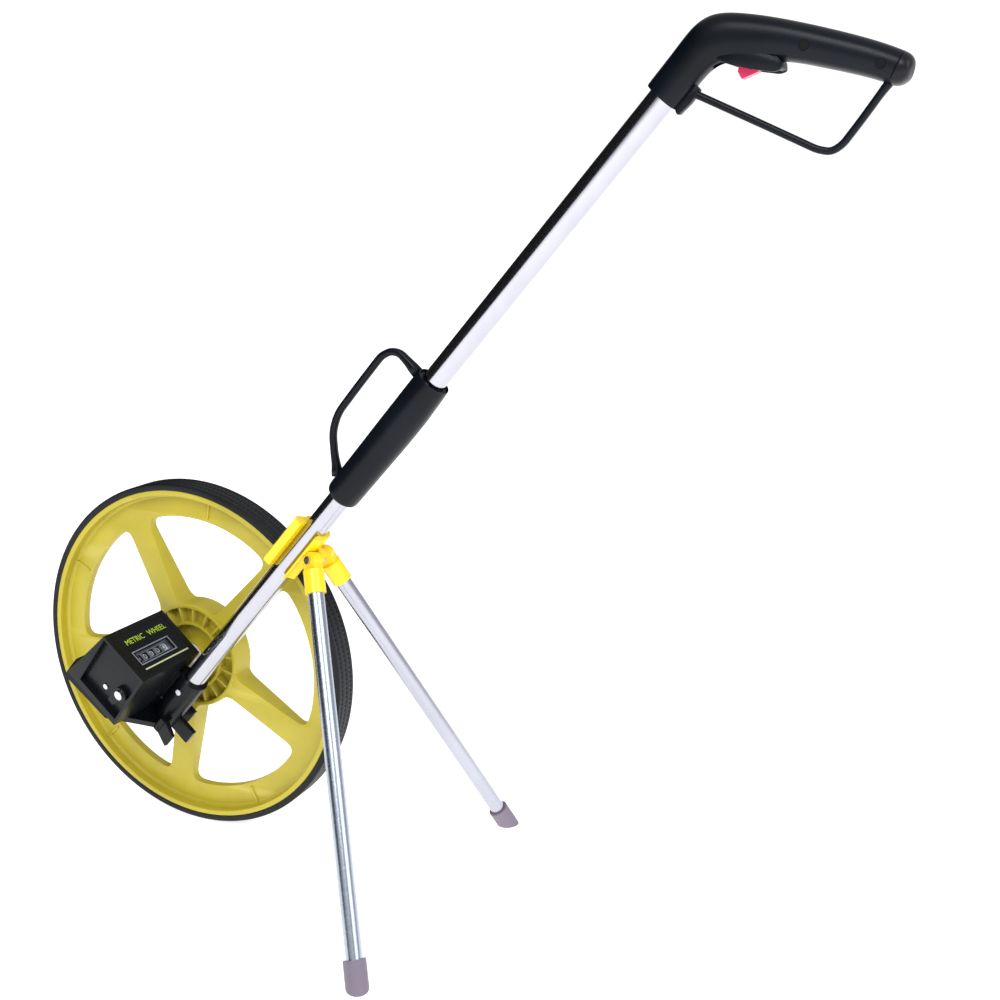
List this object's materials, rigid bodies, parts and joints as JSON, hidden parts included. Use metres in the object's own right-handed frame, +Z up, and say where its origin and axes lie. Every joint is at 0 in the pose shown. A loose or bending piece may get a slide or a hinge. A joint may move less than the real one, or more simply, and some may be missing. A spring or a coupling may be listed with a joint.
{
  "type": "measuring wheel",
  "caption": "Folding measuring wheel with a yellow five-spoke wheel, digit counter, leaning aluminium shaft, two-legged stand and a pistol grip with trigger.",
  "frame": {"origin": "point where the tyre touches the floor, in the middle plane of the wheel", "axes": "+X the way the wheel rolls, towards the handle; +Y along the axle, away from the counter; +Z up"},
  "size_m": [0.744, 0.2832, 0.6703],
  "materials": {
    "steel": "satin",
    "black_plastic": "satin",
    "dark_panel": "satin",
    "label": "satin",
    "clear_lens": "gloss",
    "tube_aluminium": "gloss",
    "hinge_metal": "satin",
    "yellow_plastic": "gloss",
    "wheel_plastic": "satin",
    "tyre_rubber": "matte",
    "white_plastic": "satin",
    "grip_rubber": "satin",
    "grey_plastic": "satin",
    "red_plastic": "gloss",
    "foot_rubber": "matte",
    "digit_drum": "satin"
  },
  "bodies": {
    "frame": {"axle": "steel", "axle_nut": "steel", "axle_washers": "steel", "cover_screws": "steel", "drum_shaft": "steel", "pinion_shaft": "steel", "lever_screw": "steel", "crank_pin": "steel", "socket_screw": "steel", "fold_pin": "steel", "leg_pins": "steel", "counter_base": "black_plastic", "counter_cover": "black_plastic", "end_panel": "dark_panel", "counter_frame": "dark_panel", "label_plate": "label", "window_lens": "clear_lens", "lower_tube": "tube_aluminium", "lower_hinge": "hinge_metal", "stand_bracket": "yellow_plastic"},
    "wheel": {"wheel": "wheel_plastic", "tyre": "tyre_rubber", "hub_bush_inner": "white_plastic", "hub_bush_outer": "white_plastic", "drive_gear": "white_plastic"},
    "upper": {"upper_hinge": "hinge_metal", "upper_tube": "tube_aluminium", "near_grip_shell": "grip_rubber", "far_grip_shell": "grip_rubber", "grip_cap": "grey_plastic", "grip_screws": "steel", "trigger_pin": "steel", "trigger_spring": "steel", "hand_guard": "black_plastic"},
    "sleeve": {"locking_sleeve": "black_plastic", "carry_loop": "black_plastic"},
    "trigger": {"trigger": "red_plastic"},
    "upper_rod": {"upper_rod": "steel"},
    "lower_rod": {"lower_rod": "steel"},
    "reset_crank": {"reset_crank": "steel"},
    "reset_lever": {"reset_lever": "black_plastic"},
    "near_leg": {"near_leg_socket": "yellow_plastic", "near_leg": "tube_aluminium", "near_foot": "foot_rubber"},
    "far_leg": {"far_leg_socket": "yellow_plastic", "far_leg": "tube_aluminium", "far_foot": "foot_rubber"},
    "drum_1": {"drum_1": "digit_drum"},
    "drum_2": {"drum_2": "digit_drum"},
    "drum_3": {"drum_3": "digit_drum"},
    "drum_4": {"drum_4": "digit_drum"},
    "drum_5": {"drum_5": "digit_drum"},
    "pinion_1": {"pinion_1": "white_plastic"},
    "pinion_2": {"pinion_2": "white_plastic"},
    "pinion_3": {"pinion_3": "white_plastic"},
    "pinion_4": {"pinion_4": "white_plastic"}
  },
  "joints": [
    {"name": "wheel_spin", "type": "hinge", "parent": "frame", "child": "wheel", "pos_m": [0, 0, 0.159], "axis": [0, 1, 0], "continuous": true},
    {"name": "fold", "type": "hinge", "parent": "frame", "child": "upper", "pos_m": [0.18613, -0.04135, 0.33711], "axis": [0.7547, 0, -0.6561], "range_deg": [0, 176]},
    {"name": "sleeve_slide", "type": "slide", "parent": "upper", "child": "sleeve", "axis": [0.6561, 0, 0.7547], "range_m": [0, 0.108]},
    {"name": "trigger", "type": "hinge", "parent": "upper", "child": "trigger", "pos_m": [0.48438, -0.032, 0.64363], "axis": [0, -1, 0], "range_deg": [0, 12], "stiffness_Nm_per_rad": 0.3, "springref_deg": -11.46},
    {"name": "upper_rod_slide", "type": "slide", "parent": "upper", "child": "upper_rod", "axis": [-0.6561, 0, -0.7547], "range_m": [0, 0.005]},
    {"name": "lower_rod_slide", "type": "slide", "parent": "frame", "child": "lower_rod", "axis": [-0.6561, 0, -0.7547], "range_m": [0, 0.005]},
    {"name": "reset_crank", "type": "hinge", "parent": "frame", "child": "reset_crank", "pos_m": [-0.0098, -0.032, 0.12848], "axis": [0, 1, 0], "range_deg": [0, 26.1]},
    {"name": "reset_lever", "type": "hinge", "parent": "frame", "child": "reset_lever", "pos_m": [-0.00782, -0.09289, 0.15241], "axis": [-0.0913, -0.9903, -0.105], "range_deg": [0, 25], "stiffness_Nm_per_rad": 0.05, "springref_deg": -11.46},
    {"name": "near_leg_fold", "type": "hinge", "parent": "frame", "child": "near_leg", "pos_m": [0.15697, -0.0412, 0.27766], "axis": [0.3196, 0.9059, -0.2778], "range_deg": [0, 64.3]},
    {"name": "far_leg_fold", "type": "hinge", "parent": "frame", "child": "far_leg", "pos_m": [0.15697, -0.0228, 0.27766], "axis": [-0.3196, 0.9059, 0.2778], "range_deg": [0, 14]},
    {"name": "drum_1_turn", "type": "hinge", "parent": "frame", "child": "drum_1", "pos_m": [0.00016, -0.05, 0.175], "axis": [0, 1, 0], "continuous": true},
    {"name": "drum_2_turn", "type": "hinge", "parent": "frame", "child": "drum_2", "pos_m": [0.00016, -0.05, 0.175], "axis": [0, 1, 0], "continuous": true},
    {"name": "drum_3_turn", "type": "hinge", "parent": "frame", "child": "drum_3", "pos_m": [0.00016, -0.05, 0.175], "axis": [0, 1, 0], "continuous": true},
    {"name": "drum_4_turn", "type": "hinge", "parent": "frame", "child": "drum_4", "pos_m": [0.00016, -0.05, 0.175], "axis": [0, 1, 0], "continuous": true},
    {"name": "drum_5_turn", "type": "hinge", "parent": "frame", "child": "drum_5", "pos_m": [0.00016, -0.05, 0.175], "axis": [0, 1, 0], "continuous": true},
    {"name": "pinion_1_turn", "type": "hinge", "parent": "frame", "child": "pinion_1", "pos_m": [-0.01536, -0.05, 0.17895], "axis": [0, 1, 0], "continuous": true},
    {"name": "pinion_2_turn", "type": "hinge", "parent": "frame", "child": "pinion_2", "pos_m": [-0.01536, -0.05, 0.17895], "axis": [0, 1, 0], "continuous": true},
    {"name": "pinion_3_turn", "type": "hinge", "parent": "frame", "child": "pinion_3", "pos_m": [-0.01536, -0.05, 0.17895], "axis": [0, 1, 0], "continuous": true},
    {"name": "pinion_4_turn", "type": "hinge", "parent": "frame", "child": "pinion_4", "pos_m": [-0.01536, -0.05, 0.17895], "axis": [0, 1, 0], "continuous": true}
  ],
  "couplings": [
    {"joint": "drum_1_turn", "follows": "wheel_spin", "ratio": -1},
    {"joint": "drum_2_turn", "follows": "wheel_spin", "ratio": -0.1},
    {"joint": "drum_3_turn", "follows": "wheel_spin", "ratio": -0.01},
    {"joint": "drum_4_turn", "follows": "wheel_spin", "ratio": -0.001},
    {"joint": "drum_5_turn", "follows": "wheel_spin", "ratio": -0.0001},
    {"joint": "pinion_1_turn", "follows": "wheel_spin", "ratio": 0.25},
    {"joint": "pinion_2_turn", "follows": "wheel_spin", "ratio": 0.025},
    {"joint": "pinion_3_turn", "follows": "wheel_spin", "ratio": 0.0025},
    {"joint": "pinion_4_turn", "follows": "wheel_spin", "ratio": 0.00025},
    {"joint": "sleeve_slide", "follows": "fold", "m_per_rad": 0.035126},
    {"joint": "trigger", "follows": "upper_rod_slide", "rad_per_m": 41.888},
    {"joint": "lower_rod_slide", "follows": "upper_rod_slide", "ratio": 1},
    {"joint": "reset_crank", "follows": "upper_rod_slide", "rad_per_m": 90.757}
  ]
}
